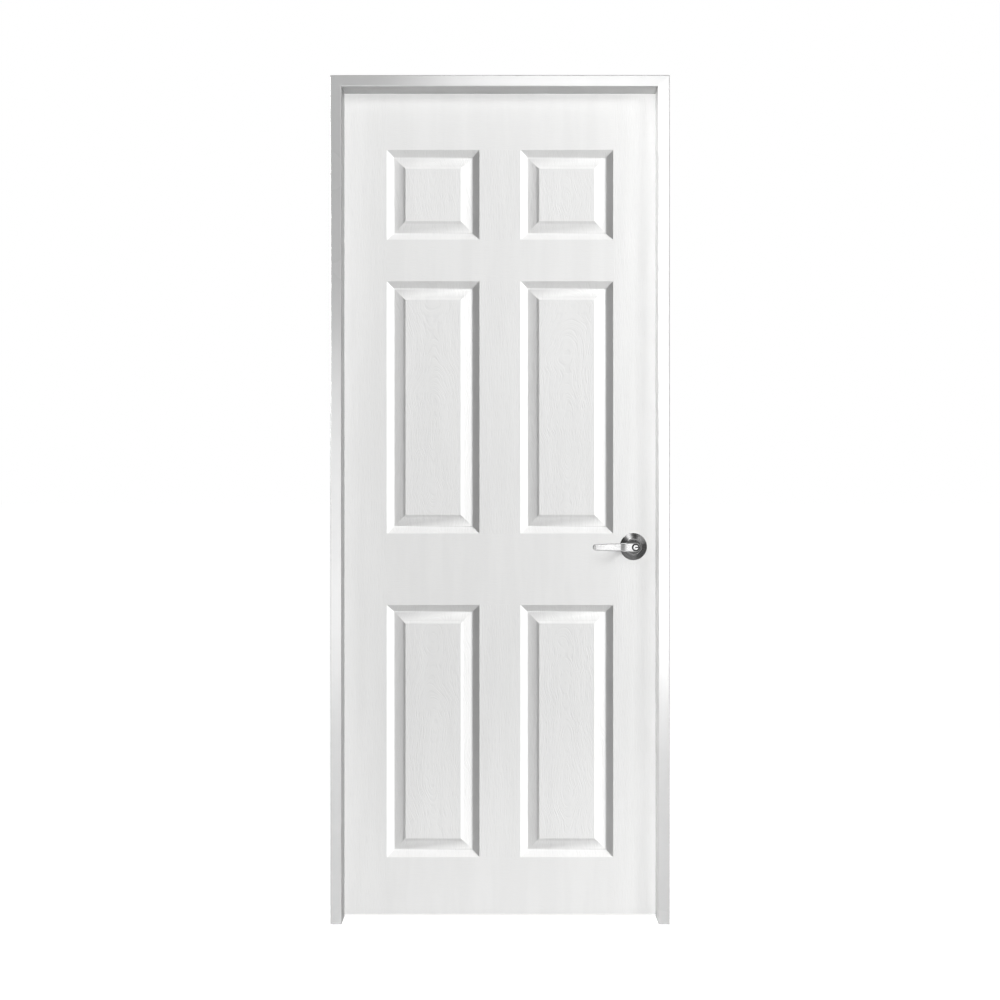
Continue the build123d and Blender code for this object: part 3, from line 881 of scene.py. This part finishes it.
@dataclass
class HandleSet:
    """The roses and levers on both faces of the leaf."""

    axis: Pair
    face: float
    rose_radius: float = 32.5 * MM
    rose_rim: float = 2 * MM
    rose_height: float = 10 * MM
    crown: float = 19 * MM
    collar: float = 13.3 * MM
    wall: float = 1.2 * MM
    soft: float = 0.5 * MM
    projection: float = 62 * MM
    seat: float = 0.05 * MM
    clearance: float = 0.3 * MM
    spigot: float = 9 * MM
    neck: float = 10.8 * MM
    flare: float = 6.5 * MM
    flare_rim: float = 1.5 * MM
    head_round: float = 3.2 * MM
    head_shares: tuple[float, ...] = (1, 0.8, 0.6, 0.4, 0.2, 0)
    mouth: float = 1.4 * MM
    # Painted shade: lever faces within this distance of the leaf's face take the roses' near-black metal.
    painted_neck_shade: float = 44 * MM
    key_bore: Pair = (8.25 * MM, 22.05 * MM)
    button_bore: Pair = (6.05 * MM, 10.05 * MM)
    # The arm's sections in millimetres: place along it, back, front and height.
    stations: tuple[tuple[float, float, float, float], ...] = (
        (-1, 45.0, 61.9, 21.5),
        (-13, 45.0, 61.9, 21.5),
        (-19, 45.9, 61.9, 21.5),
        (-25, 46.8, 61.9, 21.4),
        (-27, 47.1, 61.3, 21.0),
        (-30.5, 47.6, 59.8, 19.6),
        (-34, 47.9, 58.4, 18.3),
        (-36, 48, 58, 17.9),
        (-56, 48, 58, 17.1),
        (-76, 48, 58, 16.2),
        (-93.4, 48, 58, 15.2),
    )
    tip_radius: float = 7.6
    tip_turns: tuple[float, ...] = (20, 38, 54, 68, 79)
    tip_bluntness: float = 0.7
    tip_thickness: float = 0.45
    section_round: float = 0.15
    section_steps: int = 5
    turn_steps: int = 72
    rose_angle: float = 24
    lever_angle: float = 40

    def foot(self, side: Side) -> Point:
        """Point where the handle's axis meets a face of the leaf."""
        return (self.axis[0], side.value * self.face, self.axis[1])

    def build_rose(self, side: Side) -> Piece:
        """Spin the coned cover plate, a pressed shell.

        Args:
            side: The face that it stands on.

        Returns:
            The rose.
        """
        soft = self.soft
        profile = [
            (self.rose_radius - soft / 2, 0.0),
            (self.rose_radius, soft / 2),
            (self.rose_radius, self.rose_rim - soft),
            (self.rose_radius - 0.2 * soft, self.rose_rim - 0.2 * soft),
            (self.rose_radius - soft, self.rose_rim + soft / 2),
            (self.crown + 2 * soft, self.rose_height - 1.2 * soft),
            (self.crown + 0.7 * soft, self.rose_height - 0.3 * soft),
            (self.crown - soft, self.rose_height),
            (self.collar + soft, self.rose_height),
            (self.collar, self.rose_height - soft),
            (self.collar, self.rose_height - self.wall),
            (self.crown - self.wall, self.rose_height - self.wall),
            (self.rose_radius - self.wall, self.rose_rim - self.wall / 2),
            (self.rose_radius - self.wall, 0.0),
            (self.rose_radius - soft / 2, 0.0),
        ]
        name = f"{side.name.lower()}_cover_plate"
        rose = Bench.spin(name, profile, self.foot(side), side, self.turn_steps)
        Bench.smooth(rose, self.rose_angle)
        return rose

    def build_boss(self, side: Side) -> Piece:
        """Spin the lever's neck and head.

        Args:
            side: The face that it stands on.

        Returns:
            The boss.
        """
        edge, soft = self.head_round, self.soft
        rounding = [
            (self.neck - edge + edge * math.sin(turn), self.projection - edge + edge * math.cos(turn))
            for turn in (math.pi / 2 * share for share in self.head_shares)
        ]
        start = self.rose_height + self.clearance
        base = start + self.flare_rim
        profile = [
            (0.0, self.seat),
            (self.spigot, self.seat),
            (self.spigot, start),
            (self.neck + self.flare - soft, start),
            (self.neck + self.flare, start + soft),
            (self.neck + self.flare, base - soft / 2),
            (self.neck + self.flare - soft / 2, base + soft / 2),
            (self.neck + soft, base + self.flare - soft),
            (self.neck, base + self.flare + soft),
            *rounding,
            (0.0, self.projection),
        ]
        return Bench.spin(f"{side.name.lower()}_lever", profile, self.foot(side), side, self.turn_steps)

    def build_bore(self, side: Side) -> Piece:
        """Spin the cutter for the coned bore of what turns in the lever's head.

        Args:
            side: The face that the lever stands on.

        Returns:
            The cutter.
        """
        core, depth = self.key_bore if side is Side.OUTSIDE else self.button_bore
        profile = [
            (0.0, self.projection - depth),
            (core, self.projection - depth),
            (core, self.projection - self.mouth),
            (core + 2 * self.mouth, self.projection + self.mouth),
            (0.0, self.projection + self.mouth),
        ]
        return Bench.spin("bore_cutter", profile, self.foot(side), side, self.turn_steps)

    def arm_sections(self) -> list[tuple[float, ...]]:
        """List the arm's sections from its root to its rounded tip.

        Returns:
            Place along the arm, back, front and height of each section, in metres.
        """
        sections = list(self.stations)
        root, back, front, height = sections[-1]
        middle, half = (back + front) / 2, (front - back) / 2
        for turn in map(math.radians, self.tip_turns):
            share = math.cos(turn) ** self.tip_bluntness
            half_now = half * (self.tip_thickness + (1 - self.tip_thickness) * share)
            x = root - self.tip_radius * math.sin(turn)
            sections.append((x, middle - half_now, middle + half_now, height * share))
        return [tuple(MM * value for value in section) for section in sections]

    def build_arm(self, side: Side) -> Piece:
        """Extrude the lever's arm, section by section.

        Args:
            side: The face that it stands on.

        Returns:
            The arm.
        """
        foot = Vector(self.foot(side))
        (x, back, front, height), *others = self.arm_sections()
        place = foot + Vector((x, side.value * (back + front) / 2, 0))
        Bench.clear()
        bpy.ops.mesh.primitive_plane_add(size=1, location=place, rotation=(0, -math.pi / 2, 0))
        arm = Bench.named("lever_arm")
        Bench.settle(arm)
        Bench.open(arm)
        bpy.ops.mesh.bevel(
            offset=self.section_round, offset_type="OFFSET", segments=self.section_steps, affect="VERTICES"
        )
        bpy.ops.mesh.select_all(action="SELECT")
        bpy.ops.transform.resize(value=(1, front - back, height), center_override=place)
        for new_x, new_back, new_front, new_height in others:
            new_place = foot + Vector((new_x, side.value * (new_back + new_front) / 2, 0))
            bpy.ops.mesh.extrude_region_move(TRANSFORM_OT_translate={"value": new_place - place})
            scale = (1, (new_front - new_back) / (front - back), new_height / height)
            bpy.ops.transform.resize(value=scale, center_override=new_place)
            place, back, front, height = new_place, new_back, new_front, new_height
        bpy.ops.mesh.select_all(action="SELECT")
        bpy.ops.mesh.normals_make_consistent(inside=False)
        Bench.close()
        return arm

    def build(self, bright: Material, dark: Material) -> list[Piece]:
        """Model the roses and levers and dress them.

        Args:
            bright: The levers' metal.
            dark: The roses' metal, near black as painted shade, which is also painted as shade on the levers'
                necks.

        Returns:
            The four pieces.
        """
        made = []
        for side in Side:
            word = side.name.lower()
            rose = self.build_rose(side)
            lever = self.build_boss(side)
            Bench.cut(lever, self.build_arm(side), union=True)
            Bench.cut(lever, self.build_bore(side))
            Bench.smooth(lever, self.lever_angle)
            Bench.dress(rose, dark, "door_leaf", "satin_nickel", f"{word}_rose")
            Bench.dress(lever, bright, "handle", "satin_nickel", f"{word}_lever")
            # Painted shade: the neck's faces near the rose take the roses' near-black metal in place of the
            # neck's shade.
            lever.data.materials.append(dark)
            for polygon in lever.data.polygons:
                polygon.material_index = int(abs(polygon.center.y) < self.face + self.painted_neck_shade)
            made += [rose, lever]
        return made


@dataclass
class KeyPlug:
    """The turning plug of the key cylinder, and the row of thin plates, in near-black painted shade, that
    shows inside its keyway.
    """

    axis: Pair
    face: float
    radius: float = 6.6 * MM
    rim: float = 1.2 * MM
    soft: float = 0.1 * MM
    plug_length: float = 22.6 * MM
    keyway: Point = (8.4 * MM, 18 * MM, 3.0 * MM)
    keyway_shift: float = 2.6 * MM
    count: int = 5
    row: Point = (6.8 * MM, 5.0 * MM, 2.7 * MM)
    row_play: float = 0.1 * MM
    set_back: float = 2.5 * MM
    notch: float = 0.4 * MM
    turn_steps: int = 48
    plug_angle: float = 24
    row_angle: float = 30

    def build_plug(self, metal: Material) -> Piece:
        """Spin the plug with its coned rim, and cut the keyway into its face.

        Args:
            metal: The plug's metal.

        Returns:
            The plug.
        """
        profile = [
            (0.0, 0.0),
            (self.radius, 0.0),
            (self.radius, self.plug_length - self.rim),
            (self.radius - self.rim + self.soft, self.plug_length - self.soft),
            (self.radius - self.rim - self.soft, self.plug_length),
            (0.0, self.plug_length),
        ]
        foot = (self.axis[0], self.face + self.plug_length, self.axis[1])
        plug = Bench.spin("turning_key_plug", profile, foot, Side.OUTSIDE, self.turn_steps)
        place = (self.axis[0] + self.keyway_shift, self.face, self.axis[1])
        Bench.cut(plug, Bench.block("keyway_cutter", place, self.keyway))
        Bench.smooth(plug, self.plug_angle)
        Bench.dress(plug, metal, "lock_core", "key_steel", "key_plug")
        return plug

    def build_wafers(self, metal: Material) -> Piece:
        """Model the row from one block, with a notch between each two plates.

        Args:
            metal: The plates' metal, near black as painted shade inside the keyway.

        Returns:
            The row of plates.
        """
        length, depth, _ = self.row
        first = self.axis[0] + self.keyway_shift - self.keyway[0] / 2 + self.row_play
        place = (first + length / 2, self.face + self.set_back + depth / 2, self.axis[1])
        row = Bench.block("key_wafers", place, self.row)
        gaps = [first + length / self.count * number for number in range(1, self.count)]
        Bench.open(row)
        for x in (gap + shift for gap in gaps for shift in (-self.notch / 2, self.notch / 2)):
            bpy.ops.mesh.select_all(action="SELECT")
            bpy.ops.mesh.bisect(plane_co=(x, 0, 0), plane_no=(1, 0, 0))

        def in_gap(face: bmesh.types.BMFace) -> bool:
            """Say whether a face lies at the front of a gap."""
            x = face.calc_center_median().x
            return face.normal.y < -0.5 and any(abs(x - gap) < 0.4 * self.notch for gap in gaps)

        Bench.pick(row, Part.FACE, in_gap)
        bpy.ops.mesh.extrude_region_move(TRANSFORM_OT_translate={"value": (0, self.notch, 0)})
        Bench.close()
        Bench.smooth(row, self.row_angle)
        Bench.dress(row, metal, "lock_core", "key_steel")
        return row


@dataclass
class Screws:
    """Countersunk cross-headed screws that hold the hinges, the strike and the latch."""

    metal: Material
    head: float = 3.9 * MM
    root: float = 2.1 * MM
    depth: float = 2.0 * MM
    edge_round: float = 0.35 * MM
    edge_steps: int = 3
    sides: int = 28
    proud: float = 0.3 * MM
    slot: Point = (4.4 * MM, 0.95 * MM, 2.6 * MM)
    slot_taper: float = 0.45
    first_turn: float = 11
    turn_step: float = 37
    sharp_angle: float = 35
    knuckle: float = 12 * MM
    plate: float = 2.2 * MM
    hinge_holes: tuple[Pair, ...] = ((-30 * MM, -5 * MM), (0, 5 * MM), (30 * MM, -5 * MM))
    strike_holes: float = 21 * MM
    faceplate_holes: float = 20 * MM

    def build_head(self) -> Piece:
        """Model one screw head at the origin, with its top at Z = 0.

        Returns:
            The screw head.
        """
        Bench.clear()
        middle = (0, 0, -self.depth / 2)
        bpy.ops.mesh.primitive_cone_add(
            vertices=self.sides, radius1=self.root, radius2=self.head, depth=self.depth, location=middle
        )
        screw = Bench.named("screw")
        Bench.settle(screw)
        Bench.open(screw)
        Bench.pick(screw, Part.EDGE, lambda edge: all(vertex.co.z > -HAIR for vertex in edge.verts))
        bpy.ops.mesh.bevel(
            offset=self.edge_round, offset_type="OFFSET", segments=self.edge_steps, affect="EDGES"
        )
        Bench.close()
        for turn in (0.0, math.pi / 2):
            cutter = Bench.block("slot_cutter", (0, 0, 0), self.slot, turn)
            Bench.open(cutter)
            Bench.pick(cutter, Part.FACE, lambda face: face.normal.z < -0.5)
            scale = (self.slot_taper, self.slot_taper, 1)
            bpy.ops.transform.resize(value=scale, center_override=(0, 0, 0))
            Bench.close()
            Bench.cut(screw, cutter)
        return screw

    def set_in(self, pattern: Piece, places: Sequence[Point], way: float, name: str, body: str) -> Piece:
        """Copy the screw to its places and join the copies.

        Args:
            pattern: The screw head.
            places: Points on the plate's face.
            way: The way that the heads face along X.
            name: The joined piece's name.
            body: The CAD body that it rides on.

        Returns:
            The joined screws.
        """
        out = Vector((way, 0, 0))
        facing = out.to_track_quat("Z", "Y").to_matrix().to_4x4()
        heads = []
        for number, place in enumerate(places):
            head = Bench.copy(pattern, f"{name}_{number}")
            spin = Matrix.Rotation(math.radians(self.turn_step * number + self.first_turn), 4, "Z")
            head.matrix_world = Matrix.Translation(Vector(place) + out * self.proud) @ facing @ spin
            Bench.settle(head)
            heads.append(head)
        piece = Bench.join(heads, name)
        Bench.smooth(piece, self.sharp_angle)
        Bench.dress(piece, self.metal, body, "satin_nickel")
        return piece

    def build(self, hinges: Sequence[str]) -> list[Piece]:
        """Set every group of screws in its plate.

        Args:
            hinges: The hinges' names.

        Returns:
            One piece for each group.
        """
        pattern = self.build_head()
        made = []
        for part, body, way in (("frame_leaf", "frame", 1.0), ("door_leaf", "door_leaf", -1.0)):
            places = []
            for hinge in hinges:
                low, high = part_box(f"{hinge}_hinge_{part}")
                face = low.x + self.plate if way > 0 else high.x - self.plate
                back = (low.y + high.y - self.knuckle) / 2
                middle = (low.z + high.z) / 2
                places += [(face, back + offset, middle + rise) for rise, offset in self.hinge_holes]
            made.append(self.set_in(pattern, places, way, f"hinge_{part}_screws", body))
        for node, holes, way, name, body in (
            ("strike_plate", self.strike_holes, -1.0, "strike_screws", "frame"),
            ("latch_faceplate", self.faceplate_holes, 1.0, "faceplate_screws", "door_leaf"),
        ):
            low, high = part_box(node)
            face = high.x if way > 0 else low.x
            middle = (low.z + high.z) / 2
            places = [(face, 0, middle + rise) for rise in (-holes, holes)]
            made.append(self.set_in(pattern, places, way, name, body))
        bpy.data.objects.remove(pattern)
        return made


@dataclass(frozen=True)
class Lamp:
    """One soft light, with what it lights and what casts shadows in it, or all where none is given."""

    name: str
    place: Point
    aim: Point
    size: Pair
    power: float
    receivers: bpy.types.Collection | None = None
    blockers: bpy.types.Collection | None = None
    spread: float = 180
    mirrored: bool = True

    def build(self) -> None:
        """Set the light up and aim it."""
        data = bpy.data.lights.new(self.name, "AREA")
        data.shape = "RECTANGLE"
        data.size, data.size_y = self.size
        data.energy = self.power
        data.spread = math.radians(self.spread)
        lamp = bpy.data.objects.new(self.name, data)
        lamp.location = self.place
        lamp.rotation_euler = (Vector(self.aim) - lamp.location).to_track_quat("-Z", "Y").to_euler()
        lamp.visible_glossy = self.mirrored
        bpy.context.scene.collection.objects.link(lamp)
        lamp.light_linking.receiver_collection = self.receivers
        lamp.light_linking.blocker_collection = self.blockers


@dataclass
class Studio:
    """The camera, the lights, the floor and the white backdrop."""

    camera_place: Point = (0.0, -3.3615, 1.0022)
    lens: float = 50.0
    sensor: float = 36.0
    backdrop: float = 1.0
    ambient: float = 0.08
    mirrored_backdrop: float = 0.2
    floor_size: float = 600
    floor_colour: Colour = grey(0.25)
    floor_roughness: float = 0.9
    floor_glow: Colour = grey(0.94)
    floor_shown: Colour = grey(0.86)

    def build_camera(self) -> None:
        """Set the camera level in front of the door, as the photograph was taken."""
        data = bpy.data.cameras.new("front_camera")
        data.lens = self.lens
        data.sensor_width = self.sensor
        camera = bpy.data.objects.new("front_camera", data)
        camera.location = self.camera_place
        camera.rotation_euler = (math.pi / 2, 0, 0)
        bpy.context.scene.collection.objects.link(camera)
        bpy.context.scene.camera = camera

    @staticmethod
    def link_group(name: str, pieces: Sequence[Piece], reach: Reach) -> bpy.types.Collection:
        """Make a collection that says which objects a light or its shadow reaches.

        Args:
            name: The collection's name.
            pieces: The objects.
            reach: Whether the light keeps to these objects or passes them by.

        Returns:
            The collection.
        """
        group = bpy.data.collections.new(name)
        for piece in pieces:
            group.objects.link(piece)
        for link in group.collection_objects:
            link.light_linking.link_state = reach.value
        return group

    @staticmethod
    def seen(nodes: Nodes, mirrored_share: float) -> Socket:
        """Tell the rays that show the surroundings from those that light the object.

        Args:
            nodes: The node tree to add to.
            mirrored_share: How much of what shows a mirrored ray gets.

        Returns:
            1 for a ray from the camera or through glass, and part of 1 for a mirrored one.
        """
        ray = nodes.add("ShaderNodeLightPath", {}).node.outputs
        mirrored = nodes.maths("MULTIPLY", ray["Is Glossy Ray"], mirrored_share)
        shown = nodes.maths("MAXIMUM", ray["Is Camera Ray"], ray["Is Transmission Ray"])
        return nodes.maths("MAXIMUM", shown, mirrored)

    def build_world(self) -> None:
        """Make the surroundings: white where they show, and a dim even light on the object."""
        world = bpy.data.worlds.new("studio")
        world.use_nodes = True
        bpy.context.scene.world = world
        nodes = Nodes(world.node_tree)
        white = (*grey(1.0), 1.0)
        shown = nodes.tree.nodes["Background"]
        nodes.fill(shown, {"Color": white, "Strength": self.backdrop})
        light = nodes.add("ShaderNodeBackground", {"Color": white, "Strength": self.ambient})
        share = self.seen(nodes, self.mirrored_backdrop)
        mix = nodes.add("ShaderNodeMixShader", {0: share, 1: light, 2: shown.outputs[0]})
        nodes.fill(nodes.tree.nodes["World Output"], {"Surface": mix})

    def build_floor(self) -> Piece:
        """Lay a pale floor that shows white and keeps a faint shadow.

        Returns:
            The floor.
        """
        Bench.clear()
        bpy.ops.mesh.primitive_plane_add(size=self.floor_size, location=(0, 0, 0))
        floor = Bench.named("studio_floor")
        nodes = Surface("pale_floor")
        nodes.set(Base_Color=(*self.floor_colour, 1.0), Roughness=self.floor_roughness)
        glow = nodes.add("ShaderNodeEmission", {"Color": (*self.floor_glow, 1.0)})
        pale = nodes.add("ShaderNodeBsdfDiffuse", {"Color": (*self.floor_shown, 1.0)})
        both = nodes.add("ShaderNodeAddShader", {0: glow, 1: pale})
        lit = nodes.shader.outputs[0]
        mix = nodes.add("ShaderNodeMixShader", {0: self.seen(nodes, 1.0), 1: lit, 2: both})
        nodes.fill(nodes.tree.nodes["Material Output"], {"Surface": mix})
        floor.data.materials.append(nodes.material)
        return floor

    def build_lights(self, floor: Piece, skins: Sequence[Piece], handle: Sequence[Piece]) -> None:
        """Set up the lights, each for the pieces that it is meant for.

        Args:
            floor: The floor, which the strong lights pass by.
            skins: The leaf's two sheets, which the strip lights pass by.
            handle: The handle's pieces, which have lights of their own.
        """
        jambs = [frame["nodes"][name] for name in ("hinge_jamb", "strike_jamb", "head_jamb")]
        passed = [*jambs, *handle]
        open_side = self.link_group("side_shadow", passed, Reach.NOT)
        no_handle = self.link_group("edge_shadow", handle, Reach.NOT)
        leaf = self.link_group("leaf_reach", [*passed, floor], Reach.NOT)
        all_jambs = self.link_group("frame_reach", jambs, Reach.ONLY)
        strike_jamb = self.link_group("reveal_reach", jambs[1:2], Reach.ONLY)
        fittings = self.link_group("handle_reach", handle, Reach.ONLY)
        sheen = self.link_group("sheen_reach", skins, Reach.NOT)
        no_floor = self.link_group("rear_reach", [floor], Reach.NOT)
        middle, grip = (0, 0, 1.0), (0.3, 0, 0.9)
        # The side light's mirror image would wash the leaf out when it is seen from the far side.
        for lamp in (
            Lamp("side_light", (10.1, -5.75, 4.55), middle, (3.2, 4.0), 1930, leaf, open_side,
                 mirrored=False),
            Lamp("edge_light", (5.2, -7.5, 3.6), middle, (2.4, 2.4), 175, leaf, no_handle),
            Lamp("top_light", (-0.3, -3.2, 2.75), middle, (1.2, 0.8), 10, leaf),
            Lamp("frame_light", (-2.9, -3.4, 2.0), middle, (1.2, 1.2), 110, all_jambs),
            Lamp("outer_light", (5.0, 0.6, 5.0), (0.4, 0, 1.2), (1.6, 1.6), 420, all_jambs),
            Lamp("reveal_light", (-1.2, -1.0, 2.6), (0.4, 0, 1.5), (0.6, 0.6), 20, strike_jamb),
            Lamp("accent_light", (-0.9, -1.75, 3.75), grip, (2.6, 0.7), 65, fittings),
            Lamp("rose_light", (2.4, -1.4, 2.6), grip, (3.0, 2.0), 22, fittings, open_side),
            Lamp("foot_light", (0.0, -3.4, 0.2), (0, 0, 0.05), (1.0, 0.3), 0.15, spread=16),
            Lamp("upright_strip", (0.78, -3.9, 1.8), (0.78, 0, 1.8), (0.85, 3.5), 26.5, sheen),
            Lamp("level_strip", (0.01, -3.9, 3.15), (0.01, 0, 3.15), (0.68, 0.8), 4.7, sheen),
            Lamp("low_strip", (-0.84, -3.9, 0.9), (-0.84, 0, 0.9), (0.7, 1.7), 5.7, sheen),
            Lamp("rear_light", (-5.5, 4.2, 3.6), middle, (2.4, 2.4), 560, no_floor),
        ):
            lamp.build()

    def build(self, skins: Sequence[Piece], handle: Sequence[Piece]) -> None:
        """Set up the whole studio.

        Args:
            skins: The leaf's two sheets.
            handle: The handle's pieces.
        """
        bpy.context.scene.view_settings.view_transform = "Standard"
        self.build_camera()
        self.build_world()
        self.build_lights(self.build_floor(), skins, handle)


def dress_nodes(finishes: dict[str, Material], special: dict[str, Material]) -> int:
    """Give every CAD node that still shows its finish.

    Args:
        finishes: Materials by the record's slot.
        special: Materials by node, for those that differ from their slot's.

    Returns:
        The number of nodes dressed.
    """
    slots = {part["node"]: part["material_slot"] for part in frame["record"]["subparts"]}
    for name, node in frame["nodes"].items():
        node.data.materials.clear()
        node.data.materials.append(special.get(name) or finishes[slots[name]])
    return len(frame["nodes"])


def main() -> None:
    """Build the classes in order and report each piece."""
    logging.basicConfig(level=logging.INFO, format="%(name)s: %(message)s")
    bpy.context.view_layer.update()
    hinges = ("lower", "middle", "upper")
    layout = LeafLayout.from_frame()
    low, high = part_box("key_plug")
    axis = ((low.x + high.x) / 2, (low.z + high.z) / 2)

    nickel = ((0.66, 0.655, 0.645), (0.58, 0.575, 0.565))
    dull_nickel = (grey(0.42), grey(0.37))
    zinc = ((0.62, 0.63, 0.64), (0.5, 0.51, 0.52))
    turned = (Brushing.TURNED, axis)
    finishes = {
        finish.name: finish.build()
        for finish in (
            LeafPaint(layout),
            FramePaint(),
            Timber(),
            Metal("satin_nickel", *nickel, 0.22, 0.32, Brushing.UPRIGHT),
            Metal("key_steel", *nickel, 0.16, 0.28, *turned),
            Metal("zinc_steel", *zinc, 0.3, 0.45, Brushing.UPRIGHT),
            Plastic(),
        )
    }
    lever_metal = Metal("lever_nickel", *dull_nickel, 0.2, 0.3, Brushing.LEVEL).build()
    # Painted shade: the roses are satin nickel, and this near-black nickel stands in for the dark
    # surroundings that they mirror.
    rose_painted_shade_metal = Metal("rose_nickel", grey(0.14), grey(0.11), 0.2, 0.32, *turned).build()
    plug_metal = Metal("plug_nickel", *dull_nickel, 0.2, 0.3, *turned).build()
    # Painted shade: near-black steel for the key cylinder's ring in the lever's bore and for the plates
    # inside the keyway.
    dark_steel = Metal("dark_steel", grey(0.06), grey(0.04), 0.35, 0.5, *turned).build()

    # The key cylinder takes painted shade: near-black steel where it shows as a ring round the plug.
    count = dress_nodes(finishes, {"turn_button": lever_metal, "key_cylinder": dark_steel})
    log.info("dressed %d CAD nodes", count)
    door_leaves = [f"{name}_hinge_door_leaf" for name in hinges]
    skins = MouldedSkin(layout, axis).build(finishes["leaf_paint"], door_leaves)
    handle = HandleSet(axis, -layout.front).build(lever_metal, rose_painted_shade_metal)
    plug = KeyPlug(axis, low.y)
    handle += [plug.build_plug(plug_metal), plug.build_wafers(dark_steel)]
    screws = Screws(finishes["satin_nickel"]).build(hinges)
    for piece in (*skins, *handle, *screws):
        log.info("%s: %d faces", piece.name, len(piece.data.polygons))
    Studio().build(skins, [*handle, frame["nodes"]["key_cylinder"]])


if __name__ == "__main__":
    main()
